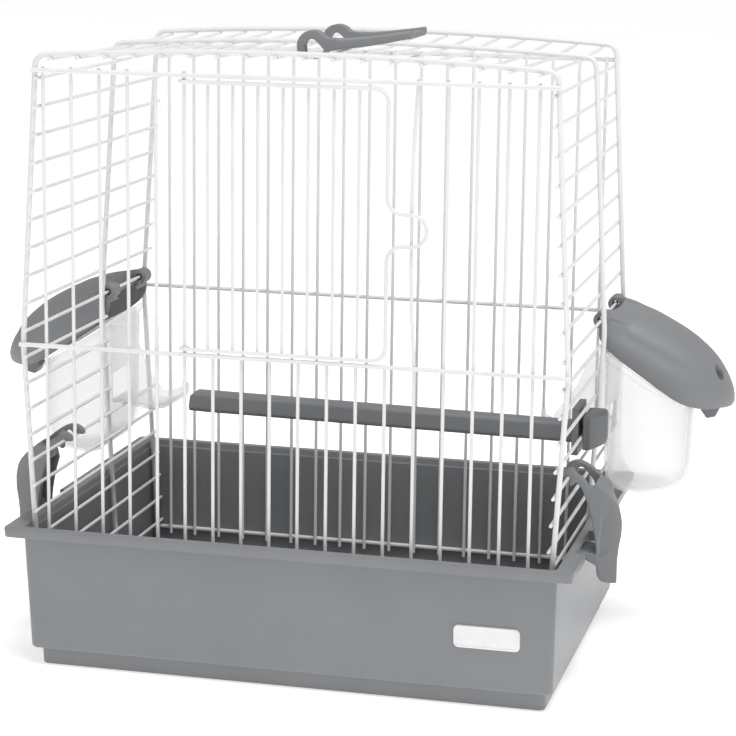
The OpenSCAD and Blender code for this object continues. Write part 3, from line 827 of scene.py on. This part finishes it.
def build_clip():
    y0, y1 = CLIP_Y - CLIP_W / 2, CLIP_Y + CLIP_W / 2
    face = spline(CLIP_OUTLINE, 8)

    def drawn_in(y):
        """How far the outer face is drawn in at depth y, so that the front edge hides it."""
        q = (y - y0) / (y1 - y0)
        return 4.2 * max(0.0, q) ** 1.1 + (0.5 if q > 0.97 else 0.0)

    secs = []
    for y in (y0, y0 + 0.5, y0 + 3, y0 + 7, y0 + 11, y0 + 15, y0 + 19, y1 - 0.5, y1):
        ring = []
        for x, z in face:
            k = max(0.0, min(1.0, (x - 152) / 10)) * max(0.0, min(1.0, (108 - z) / 8))
            k = k * k * (3 - 2 * k)
            # the front wall leans back a little from the light band along its inner edge
            inner = 151.2 + 3.4 * max(0.0, min(1.0, (106 - z) / 14))
            back = max(0.0, x - inner) * 0.11 * max(0.0, min(1.0, (112 - z) / 10)) * max(0.0, 1 - (y - y0) / 8)
            ring.append((x - drawn_in(y) * k, y + back, z))
        secs.append(ring)
    v, f = loft(secs)
    o = make("clip", v, f, TRIM)
    v, f = prism(disc(CLIP_X, CLIP_Z, 4.5), y0 + 0.05, y1 - 0.05)
    boolean(o, make("cut", v, f, TRIM), "UNION")
    v, f = prism([(143.4, 70.8), (153.6, 66), (153.6, 72.2), (143.4, 73.6)], y0 + 0.1, y1 - 0.1)
    boolean(o, make("cut", v, f, TRIM), "UNION")
    v, f = prism(disc(CLIP_X, CLIP_Z, THIN_R + 0.12), y0 - 1, y1 + 1)
    boolean(o, make("cut", v, f, TRIM))
    v, f = block(CLIP_X - 6, CLIP_X + 0.6, y0 - 1, y1 + 1, CLIP_Z - 8, CLIP_Z)
    boolean(o, make("cut", v, f, TRIM))
    # hollow back
    secs = []
    pocket = spline(CLIP_POCKET, 6)
    for y in (y0 + 4.2, y0 + 8, y0 + 14, y1 - 2.4):
        ring = []
        for x, z in pocket:
            k = max(0.0, min(1.0, (x - 152) / 10)) * max(0.0, min(1.0, (108 - z) / 8))
            k = k * k * (3 - 2 * k)
            ring.append((x - drawn_in(y) * k, y, z))
        secs.append(ring)
    v, f = loft(secs)
    boolean(o, make("cut", v, f, TRIM))
    # gap between the two arms
    v, f = prism([(125, 97), (146.4, 97), (149.8, 103.2), (151.2, 107), (150.6, 112), (150.2, 125), (125, 125)], y0 + 4.2, y1 - 4.2)
    boolean(o, make("cut", v, f, TRIM))
    # the near arm is lower than the far one, and the far one is a thin strip that hooks over the wire
    v, f = prism([(139.4, 119), (139.6, 115.4), (141.6, 113.7), (145.4, 111.2), (147.6, 108.4), (149.8, 107.8), (152.4, 111), (150, 119)], y0 - 1, y0 + 4.3)
    boolean(o, make("cut", v, f, TRIM))
    v, f = prism([(138.6, 108), (138.7, 112.2), (140.0, 113.5), (141.8, 113.5), (144.4, 110.9), (147.2, 107.5), (149.0, 103.6), (147.4, 96), (143.5, 100), (140.5, 106)], y1 - 4.3, y1 + 1)
    boolean(o, make("cut", v, f, TRIM))
    # shallow step on the front wall, from the inner edge up to the outer one
    v, f = prism([(153.4, 70.6), (160, 75.6), (166.8, 81.2), (167, 92), (160, 96), (154.6, 92), (153.6, 80)], y0 - 1, y0 + 0.9)
    boolean(o, make("cut", v, f, TRIM))
    soften(o, 0.42, 4)
    o.name = "right_clip_moulding"
    return o


right_clip = build_clip()
left_clip = mirrored(right_clip, "left_clip_moulding")
place(right_clip, "right_clip", "right_clip")
place(left_clip, "left_clip", "left_clip")

# ---------------------------------------------------------------- handle


ARM_TOP = [(12, 10.25), (17.9, 10.35), (25.7, 11.1), (36.9, 12.6), (48.9, 14.45)]
ARM_FOOT = [(12, 4.3), (15.3, 4.75), (25.8, 6.05), (34.9, 7.6), (41.7, 9.0), (48.9, 10.45)]


def build_handle():
    def world(pts):
        return [(PIVOT_X + x, PIVOT_Z + z) for x, z in pts]

    parts = []
    for s in (-1, 1):
        y0, y1 = -58 + s * 24 - 3.5, -58 + s * 24 + 3.5
        v, f = prism(world(disc(1.4, 6.1, 7.85, 72)), y0, y1)
        eye = make("eye", v, f, TRIM)
        for piece in (world(disc(0, 0, 2.4, 40)),
                      world([(5, 2), (9.2, 3.6), (14, 4.6), (14, 10.2), (8.7, 10.3), (5, 12.6)])):
            v, f = prism(piece, y0, y1)
            boolean(eye, make("cut", v, f, TRIM), "UNION")
        hole = [(0.9 + 3.6 * math.cos(math.pi * i / 24), 6.1 + 3.6 * math.sin(math.pi * i / 24)) for i in range(5, 25)]
        hole += [(-2.6, 3.6), (-1.9, 1.4), (-1.3, -0.5), (-0.7, -1.2), (0, -1.4), (0.7, -1.25), (1.3, -0.7), (4, 1.3), (7.0, 3.7), (7.5, 4.2), (7.3, 4.7)]
        v, f = prism(world(hole), y0 - 1, y1 + 1)
        boolean(eye, make("cut", v, f, TRIM))
        # the eye is a hook, open below the wire
        v, f = prism(world([(-9, -5), (12, -5), (12, 2.2), (9, 1.4), (2.6, -0.35), (-9, -0.35)]), y0 - 1, y1 + 1)
        boolean(eye, make("cut", v, f, TRIM))
        parts.append(eye)
        # the arm, drawn in towards the grip and bent up a little
        secs = []
        for i in range(13):
            t = i / 12
            x = 12 + (48.9 - 12) * t
            y = -58 + s * (24 - 9 * max(0.0, t * 1.03 - 0.03))
            zt, zf = along_line(ARM_TOP, x), along_line(ARM_FOOT, x)
            zc, hz, hy, r = (zt + zf) / 2, (zt - zf) / 2, 3.5, 1.5
            ring = []
            for cy, cz, a0 in ((hy - r, hz - r, 0), (-hy + r, hz - r, 90), (-hy + r, -hz + r, 180), (hy - r, -hz + r, 270)):
                ring += [(PIVOT_X + x, y + cy + r * math.cos(math.radians(a0 + 18 * k)), PIVOT_Z + zc + cz + r * math.sin(math.radians(a0 + 18 * k))) for k in range(6)]
            secs.append(ring)
        v, f = loft(secs)
        parts.append(make("arm", v, f, TRIM))
    # thin grip plate between the arms' ends
    plate = []
    for y in (-17, -16.2, 0, 16.2, 17):
        k = 0.7 if abs(y) > 16.5 else 1.0
        plate.append([(PIVOT_X + 46 + 2.98 * k * a, -58 + y, PIVOT_Z + 11.4 + 1.38 * k * b) for a, b in
                      ((-1, -0.6), (-0.85, -1), (0.85, -1), (1, -0.6), (1, 0.6), (0.85, 1), (-0.85, 1), (-1, 0.6))])
    v, f = loft(plate)
    parts.append(make("grip", v, f, TRIM))
    h = join("handle_moulding", parts)
    soften(h, 0.36, 5)
    return place(h, "handle", "handle")


build_handle()

# ---------------------------------------------------------------- perch


def build_perch():
    y0 = -8.0
    tilt = math.radians(0.75)
    section = [(-5.4, -4.0), (-3.8, -5.6), (3.8, -5.6), (5.4, -4.0), (5.4, 3.6), (3.4, 5.5), (-3.4, 5.5), (-5.4, 3.6)]
    secs = []
    xs = [133.4, 60, 0, -40, -69, -78.8, -79.6, -80]
    for i, x in enumerate(xs):
        k = 1.0 if x > -77 else (0.985 if x > -79 else (0.94 if x > -79.8 else 0.84))
        d = 133.4 - x
        ring = []
        for y, z in section:
            lean = (z + 5.6) * 0.13 + 0.9 * max(0.0, z - 3.6) if x < -70 else 0
            ring.append((x - z * math.sin(tilt) + lean, y0 + y * k, 126.4 + z * k + d * math.sin(tilt)))
        secs.append(ring)
    v, f = loft(secs)
    parts = [make("bar", v, f, PERCH)]
    v, f = block(132.9, 136.5, y0 - 12.5, y0 + 13, 116, 141)
    parts.append(make("plate", v, f, PERCH))
    ring = [[(x, y0 + 3.6 * math.cos(2 * math.pi * i / 32), 132 + 3.6 * math.sin(2 * math.pi * i / 32)) for i in range(32)] for x in (134, 146)]
    v, f = loft(ring)
    parts.append(make("stud", v, f, PERCH))
    o = join("perch_moulding", parts)
    soften(o, 0.5, 4)
    return place(o, "carrier", "perch_bar")


build_perch()


def build_clamp():
    y0 = -8.0
    secs = []
    for y in (-12, -11.6, -9, -6, -2, 3, 9.4, 10):
        # the front runs back in one slant to the outer edge
        q = min(1.0, (y + 12) / 15)
        x1, rc, cut = 142.4 + 6.6 * q ** 0.75, 1.0 + 1.6 * q, 0.5 if y in (-12, 10) else 0.0
        z0, z1 = 119 + cut, 137.4 - cut
        ring = [(138.9, y0 + y, z0), (x1 - rc, y0 + y, z0)]
        ring += [(x1 - rc + rc * math.sin(math.pi / 2 * i / 8), y0 + y, z0 + rc - rc * math.cos(math.pi / 2 * i / 8)) for i in range(1, 9)]
        ring += [(x1 - rc + rc * math.cos(math.pi / 2 * i / 8), y0 + y, z1 - rc + rc * math.sin(math.pi / 2 * i / 8)) for i in range(9)] + [(138.9, y0 + y, z1)]
        secs.append(ring)
    v, f = loft(secs)
    o = make("clamp", v, f, CAP)
    ring = [[(x, y0 + 3.65 * math.cos(2 * math.pi * i / 32), 132 + 3.65 * math.sin(2 * math.pi * i / 32)) for i in range(32)] for x in (134, 146.3)]
    v, f = loft(ring)
    boolean(o, make("cut", v, f, CAP))
    # parting lines
    v, f = loft([[(x, y0 + y + d, z) for x, y in ((140.6, -13), (143.0, -12.5), (151, 2.2), (151, -14))] for z, d in ((127, 0.7), (127.8, 0.7))])
    boolean(o, make("cut", v, f, CAP))
    v, f = block(140.2, 140.9, y0 - 13, y0 - 11.2, 121, 136)
    boolean(o, make("cut", v, f, CAP))
    soften(o, 0.35, 3)
    o.name = "perch_cap"
    return place(o, "carrier", "perch_clamp")


build_clamp()

# ---------------------------------------------------------------- stage, light and camera


def build_floor():
    n = 40
    verts = [(0, 0, 0)]
    faces = []
    for r in (600, 1500, 4000, 9000):
        for i in range(n):
            a = 2 * math.pi * i / n
            verts.append((r * math.cos(a), r * math.sin(a), 0))
    for i in range(n):
        faces.append((0, 1 + i, 1 + (i + 1) % n))
    for j in range(3):
        for i in range(n):
            k = (i + 1) % n
            faces.append((1 + j * n + i, 1 + (j + 1) * n + i, 1 + (j + 1) * n + k, 1 + j * n + k))
    m, nt, p, c = new_material("floor_paper")
    cloud = noise(nt, c, 3.0, 2.0)
    nt.links.new(mix_colour(nt, remap(nt, cloud, 0, 1), (0.955, 0.955, 0.955), (0.975, 0.975, 0.975)), p.inputs["Base Color"])
    p.inputs["Roughness"].default_value = 0.9
    p.inputs["Specular IOR Level"].default_value = 0.1
    p.inputs["Emission Color"].default_value = (1, 1, 1, 1)
    p.inputs["Emission Strength"].default_value = 0.5
    o = make("floor", [(x, y, z - 0.05) for x, y, z in verts], faces, m)


build_floor()

scene = bpy.context.scene
world = bpy.data.worlds.new("studio")
scene.world = world
world.use_nodes = True
bg = world.node_tree.nodes["Background"]
bg.inputs["Color"].default_value = (1.0, 1.0, 1.0, 1)
bg.inputs["Strength"].default_value = 0.5
scene.view_settings.view_transform = "Standard"


def area(name, loc, target, size, watts, colour=(1, 1, 1)):
    li = bpy.data.lights.new(name, "AREA")
    li.shape = "RECTANGLE"
    li.size, li.size_y = size
    li.energy = watts
    li.color = colour
    o = bpy.data.objects.new(name, li)
    scene.collection.objects.link(o)
    o.location = loc
    d = Vector(target) - Vector(loc)
    o.rotation_euler = d.to_track_quat("-Z", "Y").to_euler()
    return o


# one soft light from above, a little to the front and right
area("key_top", (0.45, -0.45, 2.0), (0, 0, 0.12), (1.0, 1.0), 26)

cam_data = bpy.data.cameras.new("camera")
cam = bpy.data.objects.new("camera", cam_data)
scene.collection.objects.link(cam)
cam_data.sensor_fit = "HORIZONTAL"
cam_data.sensor_width = 36.0
cam_data.lens = 118.82
cam_data.clip_start = 0.05
cam_data.clip_end = 50.0
right = Vector((0.96943, 0.24506, 0.01273)).normalized()
forward = Vector((-0.2374, 0.9497, -0.2041)).normalized()
up = right.cross(forward).normalized()
forward = up.cross(right).normalized()
cam.matrix_world = Matrix(((right.x, up.x, -forward.x, 0.3289), (right.y, up.y, -forward.y, -1.2439), (right.z, up.z, -forward.z, 0.4186), (0, 0, 0, 1)))
scene.camera = cam
